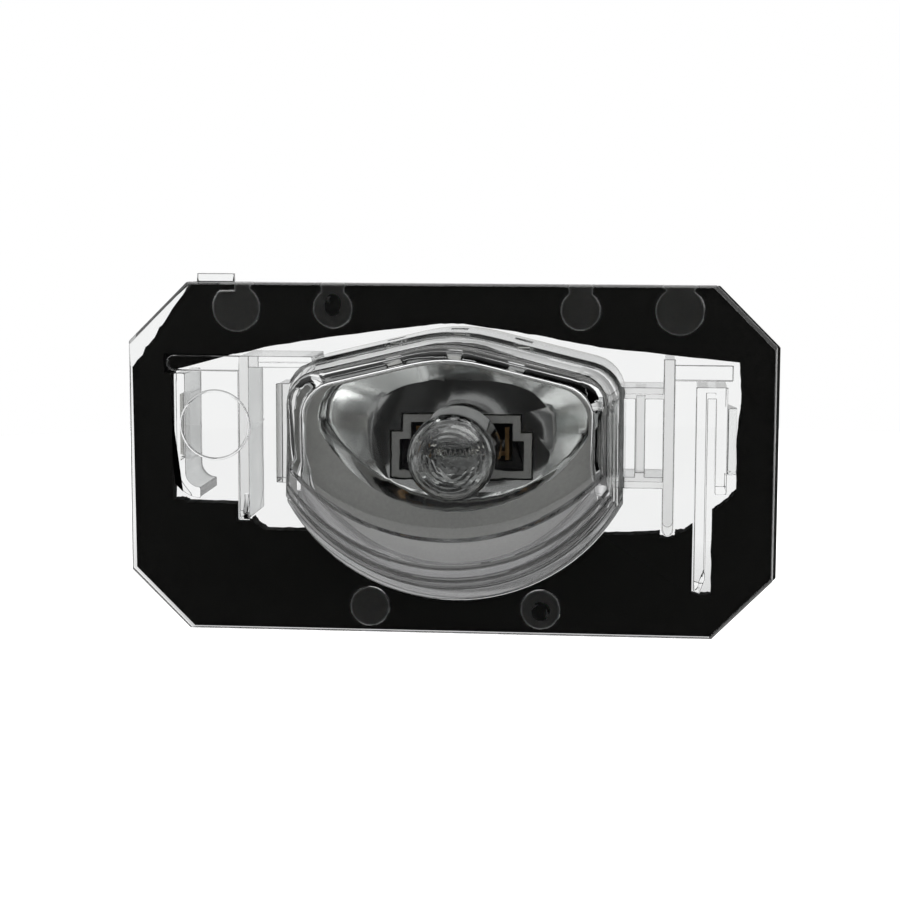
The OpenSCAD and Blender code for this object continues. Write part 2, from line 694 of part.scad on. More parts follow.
// One closed ring-shaped shell: an upright wall behind the mouth, the curved wall down to the
// flat back, the same again outside, and the lip on the flange
module reflector_bowl() {
    steps = 6;
    back_y = collar_end + cap_t / 2;
    lip = reaches(base_outline(collar_grow - collar_wall - lip_gap));
    mouth_grown = reaches(mouth_outline(bowl_wall));
    mouth_in = reaches(mouth_outline(0));
    mouth_out = [for (k = [0:ray_n - 1]) min(mouth_grown[k], lip[k] - touch)];
    back_in = reaches(back_outline(0));
    back_out = reaches(back_outline(bowl_wall));
    function inside_ring(f) =
        let (far = mouth_in + (back_in - mouth_in) * f)
        ray_ring(far, wall_depths(far, back_in));
    function outside_ring(f) =
        let (far = mouth_out + (back_out - mouth_out) * f, deep = wall_depths(far, back_in))
        ray_ring(far, [for (d = deep) min(d + bowl_wall * (1 + bowl_slope), back_y)]);
    rings = concat([ray_ring(mouth_in, level(flange_back))],
        [for (k = [0:steps]) inside_ring(k / steps)],
        [ray_ring(back_in, level(back_y)), ray_ring(back_out, level(back_y))],
        [for (k = [steps - 1:-1:0]) outside_ring(k / steps)],
        [ray_ring(mouth_out, level(flange_back + lip_t)),
         ray_ring(lip, level(flange_back + lip_t)),
         ray_ring(lip, level(flange_back))]);
    m = len(rings);
    polyhedron(points = [for (r = rings) each r],
               faces = [for (f = skin(ray_n, m + 1)) [for (k = f) k % (m * ray_n)]]);
}

module socket_outline(g) {
    w = socket_half_w + g;
    v = w - socket_step;
    translate([lens_x, bulb_z])
        polygon([[-w, socket_low - g], [w, socket_low - g], [w, socket_shoulder + g],
                 [v, socket_shoulder + g], [v, socket_top + g], [-v, socket_top + g],
                 [-v, socket_shoulder + g], [-w, socket_shoulder + g]]);
}

module plate_outline(w, h, r) {
    translate([lens_x, bulb_z]) union() {
        square([w - 2 * r, h], center = true);
        square([w, h - 2 * r], center = true);
        for (i = [-1, 1], j = [-1, 1])
            translate([i * (w / 2 - r), j * (h / 2 - r)]) circle(r);
    }
}

// A hook that grips the holder's plate, on the side given
module plate_clip(side) {
    clip_t = 1.3;
    x = plate_w / 2 + 0.2;
    translate([lens_x, 0, bulb_z - clip_w / 2]) mirror([side < 0 ? 1 : 0, 0, 0])
        linear_extrude(clip_w)
            polygon([[x, cap_end - eps], [x + clip_t, cap_end - eps], [x + clip_t, plate_end + 1],
                     [x + 0.4, plate_end + 1.4], [x - 0.9, plate_end + 0.1],
                     [x, plate_end + 0.1]]);
}

module reflector_housing() {
    color([0.62, 0.62, 0.6]) union() {
        reflector_bowl();
        difference() {
            translate([lens_x, 0, 0])
                slab(collar_end, cap_end) polygon(base_outline(collar_grow));
            slab(collar_end - 1, cap_end + 1) socket_outline(socket_gap);
        }
        for (i = [-1:1]) {
            x = i * snap_pitch;
            top = roof_at(abs(x) + snap_w / 2, collar_grow - collar_wall) - 0.15;
            translate([lens_x + x, 0, 0]) {
                block(-snap_w / 2 + 0.1, snap_w / 2 - 0.1, collar_end - snap_back - snap_l,
                      collar_end + eps, top - 1, top);
                block(-snap_w / 2 + 0.1, snap_w / 2 - 0.1,
                      collar_end - snap_back - snap_l / 2 + 0.15,
                      collar_end - snap_back + snap_l / 2 - 0.15, top - eps, top + 1.2);
            }
        }
        plate_clip(1);
        plate_clip(-1);
    }
}

module holder_seal() {
    color([0.12, 0.12, 0.12]) difference() {
        slab(cap_end, seal_end) plate_outline(plate_w - 1, plate_h - 1, 3.5);
        slab(cap_end - 1, seal_end + 1) socket_outline(1);
    }
}

// The strip of one contact: a C round the wedge base, a joggle and a connector blade
module contact_shape(side, g = 0) {
    translate([lens_x, 0, bulb_z]) mirror([side < 0 ? 1 : 0, 0, 0]) {
        outer = leaf_gap + strip_t;
        bend_y = socket_floor + 0.4;
        front_y = wedge_start + 0.3;
        block(web_x - g, web_x + strip_t + g, g > 0 ? socket_floor - eps : front_y,
              g > 0 ? bend_y : socket_floor - 2, -outer - g, outer + g);
        if (g == 0)
            for (z = [-outer, leaf_gap])
                block(leaf_x, web_x + eps, front_y + leaf_back, socket_floor - 2, z,
                      z + strip_t);
        half = pin_w / 2 + g;
        translate([0, 0, -half]) linear_extrude(2 * half) union() {
            translate([web_x - g, socket_floor - 2 - eps])
                square([strip_t + 2 * g, bend_y + strip_t + g - socket_floor + 2 + eps]);
            translate([pin_x - pin_t / 2 - g, bend_y - g])
                square([web_x + strip_t - pin_x + pin_t / 2 + 2 * g, strip_t + 2 * g]);
            translate([pin_x - pin_t / 2 - g, bend_y - g])
                square([pin_t + 2 * g, shroud_floor + pin_l - bend_y + g]);
        }
    }
}

module bulb_holder() {
    room_w = 2 * (web_x + strip_t + 0.3);
    room_h = 2 * (leaf_gap + strip_t + 0.3);
    color([0.55, 0.55, 0.53]) difference() {
        union() {
            slab(collar_end, seal_end + eps) socket_outline(0);
            slab(seal_end, plate_end) plate_outline(plate_w, plate_h, 3.5);
            slab(plate_end - eps, shroud_end) plate_outline(body_w, body_h, 1.5);
        }
        slab(collar_end - 1, seal_end) socket_outline(-socket_wall);
        translate([lens_x - room_w / 2, seal_end - eps, bulb_z - room_h / 2])
            cube([room_w, socket_floor - seal_end + eps, room_h]);
        slab(shroud_floor, shroud_end + 1)
            plate_outline(body_w - 2 * shroud_wall, body_h - 2 * shroud_wall, 1);
        contact_shape(1, 0.05);
        contact_shape(-1, 0.05);
    }
}

// Rings of a wire of radius r through the points given, two at each bend. Each stretch runs
// in the local XZ plane or along Y
function wire_rings(points, r, n) =
    let (bend = 0.3, last = len(points) - 1)
    [for (k = [0:last - 1])
        let (d = (points[k + 1] - points[k]) / norm(points[k + 1] - points[k]),
             u = abs(d[1]) > 0.5 ? [1, 0, 0] : [d[2], 0, -d[0]] * sign(d[2]),
             v = cross(u, d),
             near = k == 0 ? points[k] : points[k] + bend * d,
             far = k == last - 1 ? points[k + 1] : points[k + 1] - bend * d)
        each [for (q = [near, far])
            [for (i = [0:n - 1]) q + r * (cos(360 * i / n) * u + sin(360 * i / n) * v)]]];

// A closed tube through rings of n points each
module tube(rings, n) {
    m = len(rings);
    polyhedron(
        points = [for (r = rings) each r],
        faces = concat([for (f = skin(n, m)) [f[0], f[2], f[1]]],
            [[for (i = [0:n - 1]) n - 1 - i]],
            [[for (i = [0:n - 1]) (m - 1) * n + i]]));
}

// The path of one lead, local Z back along the axis: filament, bead, glass, fold and end
function lead_path(side) =
    let (fold_z = base_end + wire_r + 0.1, face = wedge_t / 2 + wire_r + touch,
         bead_room = bead_r + 0.3)
    [[side * (filament_half + wire_r), 0, filament_y],
     [side * filament_half, 0, bead_y - bead_room - 0.6],
     [side * lead_x, 0, bead_y - bead_room],
     [side * lead_x, 0, bead_y + bead_room],
     [side * spread_x, 0, pinch_start - 0.4],
     [side * spread_x, 0, fold_z],
     [side * spread_x, side * face, fold_z],
     [side * spread_x, side * face, wedge_start + 2]];

module bulb_lead_left() {
    color([0.7, 0.68, 0.62]) on_axis() tube(wire_rings(lead_path(-1), wire_r, 12), 12);
}

module bulb_lead_right() {
    color([0.7, 0.68, 0.62]) on_axis() tube(wire_rings(lead_path(1), wire_r, 12), 12);
}

// Holes for the two leads, at distance x from the axis
module lead_bores(x, y0, y1) {
    for (side = [-1, 1])
        translate([side * x, 0, y0]) cylinder(h = y1 - y0, r = wire_r + touch, $fn = 24);
}

// Half of a bulb's section: a round tip, a straight wall and a neck, g inside the surface
function bulb_section(g) =
    let (r = bulb_d / 2 - g, tip = bulb_tip + g, tip_end = bulb_tip + tip_l, n = 10,
         end_r = pinch_r - g, end = pinch_start)
    concat([for (i = [0:n]) let (a = 90 * i / n)
               [r * sin(a), tip_end - (tip_end - tip) * cos(a)]],
           [[r, end - 1.5], [end_r, end], [0, end]]);

module bulb_glass() {
    sink = 0.3;
    color([0.9, 0.92, 0.94, 0.35]) on_axis() difference() {
        union() {
            rotate_extrude() polygon(bulb_section(0));
            hull() {
                translate([0, 0, pinch_start - sink])
                    cylinder(h = eps, r = pinch_r - sink / 6, $fn = 32);
                translate([-wedge_w / 2, -wedge_t / 2, wedge_start]) cube([wedge_w, wedge_t, eps]);
            }
            translate([-wedge_w / 2, -wedge_t / 2, wedge_start])
                cube([wedge_w, wedge_t, wedge_l]);
        }
        rotate_extrude() polygon(bulb_section(glass_t));
        lead_bores(spread_x, pinch_start - 1, base_end + 1);
    }
}

module bulb_bead() {
    color([0.75, 0.8, 0.85, 0.6]) on_axis() difference() {
        translate([0, 0, bead_y]) rotate([0, 90, 0])
            cylinder(h = 2 * lead_x + 1.4, r = bead_r, center = true, $fn = 32);
        lead_bores(lead_x, bead_y - 2 * bead_r, bead_y + 2 * bead_r);
    }
}

// A coil between the tips of the two leads, as rings of eight points along a helix
module bulb_filament() {
    turns = 9;
    per_turn = 10;
    coil_r = 0.35;
    thread_r = 0.07;
    n = 6;
    m = turns * per_turn + 1;
    half = filament_half - wire_r;
    place = [for (k = [0:m - 1])
        let (a = 360 * k / per_turn, x = half * (2 * k / (m - 1) - 1))
        [x, coil_r * cos(a), filament_y + coil_r * sin(a)]];
    rings = [for (k = [0:m - 1])
        let (a = 360 * k / per_turn, out = [0, cos(a), sin(a)])
        [for (i = [0:n - 1]) let (b = 360 * i / n)
            place[k] + thread_r * (cos(b) * out + sin(b) * [1, 0, 0])]];
    color([0.35, 0.34, 0.33]) on_axis() tube(rings, n);
}

module contact_left() {
    color([0.72, 0.55, 0.25]) contact_shape(-1);
}

module contact_right() {
    color([0.72, 0.55, 0.25]) contact_shape(1);
}

lens_cover();
flange_gasket();
reflector_housing();
holder_seal();
bulb_holder();
contact_left();
contact_right();
bulb_glass();
bulb_bead();
bulb_filament();
bulb_lead_left();
bulb_lead_right();
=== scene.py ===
import json
import math

import bpy
from mathutils import Matrix, Vector

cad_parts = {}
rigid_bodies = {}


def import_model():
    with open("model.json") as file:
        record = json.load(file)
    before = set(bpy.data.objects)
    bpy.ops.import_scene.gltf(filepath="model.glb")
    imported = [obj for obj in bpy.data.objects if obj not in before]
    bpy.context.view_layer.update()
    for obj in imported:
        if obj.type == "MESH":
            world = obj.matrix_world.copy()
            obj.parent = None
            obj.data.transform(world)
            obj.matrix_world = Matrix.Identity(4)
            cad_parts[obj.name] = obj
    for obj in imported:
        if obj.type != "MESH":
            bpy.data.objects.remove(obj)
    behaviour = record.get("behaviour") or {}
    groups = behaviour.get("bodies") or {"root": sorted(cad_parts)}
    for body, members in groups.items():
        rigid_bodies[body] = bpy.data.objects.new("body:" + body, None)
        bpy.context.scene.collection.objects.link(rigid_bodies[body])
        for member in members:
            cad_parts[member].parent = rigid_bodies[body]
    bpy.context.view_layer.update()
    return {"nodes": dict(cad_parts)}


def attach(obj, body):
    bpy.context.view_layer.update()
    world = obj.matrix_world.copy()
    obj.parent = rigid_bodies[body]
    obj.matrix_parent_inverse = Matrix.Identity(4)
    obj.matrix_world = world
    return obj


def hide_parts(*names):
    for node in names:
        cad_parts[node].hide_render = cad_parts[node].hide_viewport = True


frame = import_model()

scene = bpy.context.scene
MM = 0.001

# Places and sizes of the part, in millimetres, as its source gives them
FLANGE_FRONT = -4.5
FLANGE_BACK = -2.5
FLANGE_HALF_W = 38.0
FLANGE_HALF_H = 20.7
EDGE_BEVEL = 0.6
COLLAR_END = 7.0
LENS_X = 0.6
BULB_Z = 0.6
PAD_DEPTH = 0.3
SOCKET_FLOOR = 17.0

# What this script adds to it. The outline of the flange's front moves out by EDGE_OUT, which
# makes its bevel narrower, and ROUNDING rounds the edges of the clear cover and of the holder
EDGE_OUT = 0.35
ROUNDING = 0.12
SMOOTH_BELOW = math.radians(30)
# Width of the matt rim of each pin mark
PIN_RIM = 0.12
# The plain ring moulded on the flange's left window: centre, radius and radius of its wire
RING_AT = (-27.64, 3.9)
RING_R = 4.05
RING_WIRE_R = 0.16
# The prism bands of the dome lie between these places
BANDS_FRONT = -12.5
BANDS_BACK = FLANGE_FRONT - 1.5
# Distance from the lens's middle beyond which there are only lugs, guides and ribs, and the
# one where the outer lugs begin
BESIDE_COLLAR = 20
OUTER_LUGS = 29
# Gap that the reflector keeps to the lens, so that light passes
REFLECTOR_GAP = 0.015
# How far the foam is pressed into the flange, and each dab into its pad
PRESSED_IN = 0.02
# The bowl's metal ends here, and the painted shade inside the socket lies within these half sizes
METAL_END = COLLAR_END + 0.9
SHADE_HALF_W = 7.62
SHADE_HALF_H = 3.8

# The camera: yaw, pitch and roll in degrees, distance from the flange in metres, focal length
# on a sensor of 36 mm, and how far the picture is shifted, in pixels
CAMERA_TURN = (5.70, 7.39, 0.13)
CAMERA_AWAY = 0.26
FOCAL_LENGTH = 88.82
SHIFT = (2.2, 11.1)
PICTURE = 900


def add_camera():
    """The photograph's viewpoint: a little from the right and from above."""
    yaw, pitch, roll = (math.radians(a) for a in CAMERA_TURN)
    back = Vector((math.sin(yaw) * math.cos(pitch), -math.cos(yaw) * math.cos(pitch),
                   math.sin(pitch)))
    level = Vector((0, 0, 1)).cross(back).normalized()
    above = back.cross(level)
    right = math.cos(roll) * level + math.sin(roll) * above
    up = -math.sin(roll) * level + math.cos(roll) * above
    place = Matrix((right, up, back)).transposed().to_4x4()
    place.translation = Vector((0, FLANGE_FRONT * MM, 0)) + CAMERA_AWAY * back
    bpy.ops.object.camera_add()
    camera = bpy.context.active_object
    camera.name = "camera"
    camera.matrix_world = place
    camera.data.sensor_width = 36
    camera.data.lens = FOCAL_LENGTH
    camera.data.shift_x = SHIFT[0] / PICTURE
    camera.data.shift_y = SHIFT[1] / PICTURE
    camera.data.clip_start = 0.01
    scene.camera = camera


def deselect_all():
    bpy.ops.object.select_all(action="DESELECT")


def take(obj):
    """Makes obj the only selected object."""
    deselect_all()
    obj.select_set(True)
    bpy.context.view_layer.objects.active = obj


def copy_of(node, name):
    """A merged copy of a CAD node, as a piece of its own."""
    source = frame["nodes"][node]
    take(source)
    bpy.ops.object.duplicate(linked=False)
    piece = bpy.context.active_object
    bpy.ops.object.parent_clear(type="CLEAR_KEEP_TRANSFORM")
    for key in list(piece.keys()):
        del piece[key]
    piece.name = name
    piece.data.name = name
    piece.data.materials.clear()
    bpy.ops.object.mode_set(mode="EDIT")
    bpy.ops.mesh.select_all(action="SELECT")
    bpy.ops.mesh.remove_doubles(threshold=1e-7)
    bpy.ops.mesh.dissolve_limited(angle_limit=math.radians(0.3))
    bpy.ops.mesh.select_all(action="DESELECT")
    bpy.ops.object.mode_set(mode="OBJECT")
    return piece


def pick_faces(piece, wanted):
    """Selects the faces whose centre and normal pass the test, and opens edit mode."""
    take(piece)
    bpy.ops.object.mode_set(mode="EDIT")
    bpy.context.tool_settings.mesh_select_mode = (False, False, True)
    bpy.ops.mesh.select_all(action="DESELECT")
    bpy.ops.object.mode_set(mode="OBJECT")
    for face in piece.data.polygons:
        face.select = bool(wanted(face.center / MM, face.normal))
    bpy.ops.object.mode_set(mode="EDIT")


def pick_points(piece, wanted):
    """Selects the points that pass the test, and opens edit mode."""
    take(piece)
    bpy.ops.object.mode_set(mode="EDIT")
    bpy.context.tool_settings.mesh_select_mode = (True, False, False)
    bpy.ops.mesh.select_all(action="DESELECT")
    bpy.ops.object.mode_set(mode="OBJECT")
    for point in piece.data.vertices:
        point.select = bool(wanted(point.co / MM))
    bpy.ops.object.mode_set(mode="EDIT")


def done_editing():
    bpy.ops.mesh.select_all(action="DESELECT")
    bpy.ops.object.mode_set(mode="OBJECT")


def paint_faces(piece, slot_index, wanted):
    """Gives the faces that pass the test the material in that place of the piece."""
    pick_faces(piece, wanted)
    piece.active_material_index = slot_index
    bpy.ops.object.material_slot_assign()
    done_editing()


def soften(piece):
    """Rounds the sharp edges by a bevel and smooths the others."""
    take(piece)
    bevel = piece.modifiers.new("edges", "BEVEL")
    bevel.width = ROUNDING * MM
    bevel.segments = 2
    bevel.limit_method = "ANGLE"
    bevel.angle_limit = SMOOTH_BELOW
    bevel.use_clamp_overlap = False
    bpy.ops.object.modifier_apply(modifier=bevel.name)
    bpy.ops.object.shade_smooth_by_angle(angle=SMOOTH_BELOW)


def keep_flats_flat(piece):
    """Turns the corner normals towards the large faces, so that these shade as flat."""
    take(piece)
    weighted = piece.modifiers.new("flats", "WEIGHTED_NORMAL")
    weighted.mode = "FACE_AREA"
    weighted.weight = 50
    weighted.keep_sharp = True
    bpy.ops.object.modifier_apply(modifier=weighted.name)


def place(piece, slot_name, *nodes):
    """Ties a piece to the frame and hides the CAD nodes that it stands for. slot_name is not used.
    """
    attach(piece, "root")
    if nodes:
        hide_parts(*nodes)


# Finishes


def new_finish(name):
    finish = bpy.data.materials.new(name)
    finish.use_nodes = True
    nodes = finish.node_tree.nodes
    return finish, nodes, finish.node_tree.links, nodes["Principled BSDF"]


def object_noise(nodes, links, scale, detail=3.0, roughness=0.5):
    where = nodes.new("ShaderNodeTexCoord")
    noise = nodes.new("ShaderNodeTexNoise")
    noise.inputs["Scale"].default_value = scale
    noise.inputs["Detail"].default_value = detail
    noise.inputs["Roughness"].default_value = roughness
    links.new(where.outputs["Object"], noise.inputs["Vector"])
    return noise


def bump_from(nodes, links, noise, shader, depth, strength=1.0):
    bump = nodes.new("ShaderNodeBump")
    bump.inputs["Strength"].default_value = strength
    bump.inputs["Distance"].default_value = depth
    links.new(noise.outputs["Fac"], bump.inputs["Height"])
    links.new(bump.outputs["Normal"], shader.inputs["Normal"])


def spread(nodes, links, noise, low, high, socket):
    """Lets the noise move a value between low and high."""
    span = nodes.new("ShaderNodeMapRange")
    span.inputs["From Min"].default_value = 0.3
    span.inputs["From Max"].default_value = 0.7
    span.inputs["To Min"].default_value = low
    span.inputs["To Max"].default_value = high
    links.new(noise.outputs["Fac"], span.inputs["Value"])
    links.new(span.outputs["Result"], socket)


def tint(nodes, links, noise, dark, light, socket):
    ramp = nodes.new("ShaderNodeValToRGB")
    ramp.color_ramp.elements[0].position = 0.3
    ramp.color_ramp.elements[0].color = (*dark, 1)
    ramp.color_ramp.elements[1].position = 0.7
    ramp.color_ramp.elements[1].color = (*light, 1)
    links.new(noise.outputs["Fac"], ramp.inputs["Fac"])
    links.new(ramp.outputs["Color"], socket)


def clear_plastic(name, dark, light, clearness=1.0):
    """Clear moulded plastic, with the faint waves that its flow leaves."""
    finish, nodes, links, shader = new_finish(name)
    shader.inputs["Transmission Weight"].default_value = clearness
    shader.inputs["IOR"].default_value = 1.49
    noise = object_noise(nodes, links, 180, 2)
    tint(nodes, links, noise, dark, light, shader.inputs["Base Color"])
    spread(nodes, links, noise, 0.0, 0.012, shader.inputs["Roughness"])
    bump_from(nodes, links, noise, shader, 0.00001, 0.4)
    return finish


def frosted_plastic(name, clearness):
    """Clear plastic that the mould left matt, as in the pin marks and on the guides' ends."""
    finish, nodes, links, shader = new_finish(name)
    shader.inputs["Transmission Weight"].default_value = clearness
    shader.inputs["IOR"].default_value = 1.49
    shader.inputs["Base Color"].default_value = (0.97, 0.975, 0.97, 1)
    noise = object_noise(nodes, links, 9000, 2)
    spread(nodes, links, noise, 0.35, 0.55, shader.inputs["Roughness"])
    bump_from(nodes, links, noise, shader, 0.00002, 0.5)
    return finish


def black_foam():
    """Closed-cell foam with a fine skin, black all through."""
    finish, nodes, links, shader = new_finish("black_foam")
    cells = object_noise(nodes, links, 5200, 4, 0.6)
    tint(nodes, links, cells, (0.007, 0.007, 0.0064), (0.013, 0.013, 0.012),
         shader.inputs["Base Color"])
    spread(nodes, links, cells, 0.75, 0.95, shader.inputs["Roughness"])
    shader.inputs["Specular IOR Level"].default_value = 0.15
    bump_from(nodes, links, cells, shader, 0.00004, 0.3)
    return finish


def mirror_metal():
    """Aluminium put on in a vacuum, over a moulded bowl that is not quite even."""
    finish, nodes, links, shader = new_finish("mirror_metal")
    shader.inputs["Metallic"].default_value = 1
    noise = object_noise(nodes, links, 160, 2)
    tint(nodes, links, noise, (0.74, 0.745, 0.74), (0.80, 0.805, 0.80),
         shader.inputs["Base Color"])
    spread(nodes, links, noise, 0.09, 0.13, shader.inputs["Roughness"])
    bump_from(nodes, links, noise, shader, 0.00001, 0.2)
    return finish


def moulded_grey():
    """Grey moulded plastic with a fine spark-eroded grain."""
    finish, nodes, links, shader = new_finish("moulded_grey")
    grain = object_noise(nodes, links, 3800, 3, 0.6)
    tint(nodes, links, grain, (0.36, 0.36, 0.345), (0.42, 0.42, 0.405),
         shader.inputs["Base Color"])
    spread(nodes, links, grain, 0.42, 0.55, shader.inputs["Roughness"])
    bump_from(nodes, links, grain, shader, 0.00003, 0.5)
    return finish


def socket_painted_shade():
    """The same plastic inside the socket, darkened as painted shade for the dark of its recess,
    with a tone that varies at random.
    """
    finish, nodes, links, shader = new_finish("socket_painted_shade")
    cloud = object_noise(nodes, links, 900, 4, 0.6)
    tint(nodes, links, cloud, (0.012, 0.012, 0.011), (0.05, 0.048, 0.045),
         shader.inputs["Base Color"])
    spread(nodes, links, cloud, 0.5, 0.7, shader.inputs["Roughness"])
    bump_from(nodes, links, cloud, shader, 0.00003, 0.4)
    return finish


def black_rubber():
    finish, nodes, links, shader = new_finish("black_rubber")
    grain = object_noise(nodes, links, 2600, 3)
    tint(nodes, links, grain, (0.012, 0.012, 0.012), (0.022, 0.022, 0.021),
         shader.inputs["Base Color"])
    spread(nodes, links, grain, 0.5, 0.7, shader.inputs["Roughness"])
    bump_from(nodes, links, grain, shader, 0.00003, 0.5)
    return finish


def stamped_brass():
    """Rolled brass strip, a little tarnished."""
    finish, nodes, links, shader = new_finish("stamped_brass")
    shader.inputs["Metallic"].default_value = 1
    cloud = object_noise(nodes, links, 700, 4)
    tint(nodes, links, cloud, (0.24, 0.14, 0.06), (0.42, 0.26, 0.11),
         shader.inputs["Base Color"])
    spread(nodes, links, cloud, 0.35, 0.5, shader.inputs["Roughness"])
    bump_from(nodes, links, cloud, shader, 0.00001, 0.4)
    return finish


def lamp_glass():
    finish, nodes, links, shader = new_finish("lamp_glass")
    shader.inputs["Transmission Weight"].default_value = 1
    shader.inputs["IOR"].default_value = 1.5
    wave = object_noise(nodes, links, 320, 2)
    tint(nodes, links, wave, (0.97, 0.975, 0.97), (0.985, 0.99, 0.985),
         shader.inputs["Base Color"])
    spread(nodes, links, wave, 0.0, 0.01, shader.inputs["Roughness"])
    bump_from(nodes, links, wave, shader, 0.00004, 0.5)
    return finish


def bead_glass():
    finish, nodes, links, shader = new_finish("bead_glass")
    shader.inputs["Transmission Weight"].default_value = 1
    shader.inputs["IOR"].default_value = 1.52
    wave = object_noise(nodes, links, 900, 2)
    tint(nodes, links, wave, (0.80, 0.86, 0.84), (0.90, 0.93, 0.92),
         shader.inputs["Base Color"])
    spread(nodes, links, wave, 0.0, 0.05, shader.inputs["Roughness"])
    return finish


def drawn_wire():
    finish, nodes, links, shader = new_finish("drawn_wire")
    shader.inputs["Metallic"].default_value = 1
    scratch = object_noise(nodes, links, 2500, 3)
    tint(nodes, links, scratch, (0.55, 0.53, 0.49), (0.72, 0.70, 0.66),
         shader.inputs["Base Color"])
    spread(nodes, links, scratch, 0.2, 0.35, shader.inputs["Roughness"])
    return finish


def tungsten():
    finish, nodes, links, shader = new_finish("tungsten")
    shader.inputs["Metallic"].default_value = 1
    scratch = object_noise(nodes, links, 6000, 3)
    tint(nodes, links, scratch, (0.28, 0.27, 0.26), (0.42, 0.41, 0.40),
         shader.inputs["Base Color"])
    spread(nodes, links, scratch, 0.3, 0.45, shader.inputs["Roughness"])
    return finish


# Pieces

# Places of the clear cover's finishes in its list, after the polished one
FROSTED, MATT, STEP_SHADE, SATIN, WALL_SHADE = 1, 2, 3, 4, 5


def add_ring(lens):
    """The plain raised ring on the left window, melted into the flange's front."""
    x, z = RING_AT
    bpy.ops.mesh.primitive_torus_add(location=(x * MM, FLANGE_FRONT * MM, z * MM),
                                     rotation=(math.pi / 2, 0, 0), major_radius=RING_R * MM,
                                     minor_radius=RING_WIRE_R * MM, major_segments=72,
                                     minor_segments=8)
    ring = bpy.context.active_object
    bpy.ops.object.transform_apply(location=True, rotation=True, scale=True)
    take(lens)
    union = lens.modifiers.new("ring", "BOOLEAN")
    union.operation = "UNION"
    union.solver = "EXACT"
    union.object = ring
    bpy.ops.object.modifier_apply(modifier=union.name)
    bpy.data.objects.remove(ring)
    take(lens)
    bpy.ops.object.shade_smooth_by_angle(angle=SMOOTH_BELOW)


def sharpen_flange(lens):
    """Moves the outline of the flange's front outwards, so that its bevel gets narrower."""
    def on_outline(v):
        x, z = abs(v.x), abs(v.z)
        return abs(v.y - FLANGE_FRONT) < 0.05 and (x > 36 or z > 19 or x + z > 49)

    pick_points(lens, on_outline)
    bpy.ops.transform.resize(value=(1 + EDGE_OUT / (FLANGE_HALF_W - EDGE_BEVEL), 1,
                                    1 + EDGE_OUT / (FLANGE_HALF_H - EDGE_BEVEL)),
                             center_override=(0, FLANGE_FRONT * MM, 0))
    done_editing()


def make_lens(finishes):
    """Flange, dome, collar and lugs in clear plastic, with the pin marks in the flange's back.
    The prism bands are a little satin, their steps tinted dark as painted shade for the dark that
    their refraction shows, the lug walls tinted a little grey as painted shade for their
    refraction, and the walls' ends matt."""
    lens = copy_of("lens_cover", "clear_lens")
    sharpen_flange(lens)
    soften(lens)
    add_ring(lens)
    for finish in finishes:
        lens.data.materials.append(finish)

    def on_bands(c, n):
        return c.y < BANDS_BACK and n.y < 0 and n.z < -0.02

    def on_walls(c, n):
        beside = abs(c.x - LENS_X) > BESIDE_COLLAR
        on_roof = c.z > 10 and n.z > 0.5
        return c.y > FLANGE_BACK + 0.2 and abs(n.y) < 0.5 and (beside or on_roof)

    def on_ends(c, n):
        return c.y > 2 and n.y > 0.9 and BESIDE_COLLAR < abs(c.x - LENS_X) < OUTER_LUGS

    paint_faces(lens, SATIN, lambda c, n: on_bands(c, n) and c.y > BANDS_FRONT and n.y < -0.9)
    # painted shade: the steps of the prism bands take a dark tint for the dark that their
    # refraction shows
    paint_faces(lens, STEP_SHADE, lambda c, n: on_bands(c, n) and n.z < -0.12 and -0.93 < n.y < -0.12)
    # painted shade: the lug walls and the collar's roof take a grey tint for the grey that their
    # refraction shows
    paint_faces(lens, WALL_SHADE, on_walls)
    paint_faces(lens, MATT, on_ends)
    floor_y = FLANGE_BACK - PAD_DEPTH
    pick_faces(lens, lambda c, n: abs(c.y - floor_y) < 0.05 and n.y > 0.9)
    lens.active_material_index = MATT
    bpy.ops.object.material_slot_assign()
    bpy.ops.mesh.inset(thickness=PIN_RIM * MM, depth=0)
    lens.active_material_index = FROSTED
    bpy.ops.object.material_slot_assign()
    done_editing()
    bpy.ops.object.shade_smooth_by_angle(angle=SMOOTH_BELOW)
    keep_flats_flat(lens)
    place(lens, "clear_plastic", "lens_cover")


def make_gasket(foam):
    """The foam, pressed so hard on the flange that no air is left between them. Its cut edges
    are a little ragged, most of all at the top left."""
    gasket = copy_of("flange_gasket", "foam_gasket")

    def inner_edge(c, n):
        return abs(n.y) < 0.1 and c.x * n.x + c.z * n.z < 0

    def top_left_edge(c, n):
        return abs(n.y) < 0.1 and c.x < -30 and c.z > 10 and n.x < -0.3 and n.z > 0.3

    for seed, reach, cuts, wanted in ((3, 0.12, 5, inner_edge), (8, 0.3, 12, top_left_edge)):
        pick_faces(gasket, wanted)
        bpy.ops.mesh.select_mode(type="EDGE")
        bpy.ops.mesh.subdivide(number_cuts=cuts)
        bpy.ops.transform.vertex_random(offset=reach * MM, seed=seed)
        done_editing()
    for level, wanted in ((FLANGE_BACK, lambda v: v.y < FLANGE_BACK + 0.2),
                          (0.0, lambda v: v.y > -0.2)):
        pick_points(gasket, wanted)
        bpy.ops.transform.resize(value=(1, 0, 1), center_override=(0, level * MM, 0))
        done_editing()
    pick_faces(gasket, lambda c, n: n.y < -0.9 and abs(c.y - FLANGE_BACK) < 0.01)
    bpy.ops.transform.translate(value=(0, -PRESSED_IN * MM, 0))
    done_editing()
    gasket.data.materials.append(foam)
    place(gasket, "foam", "flange_gasket")


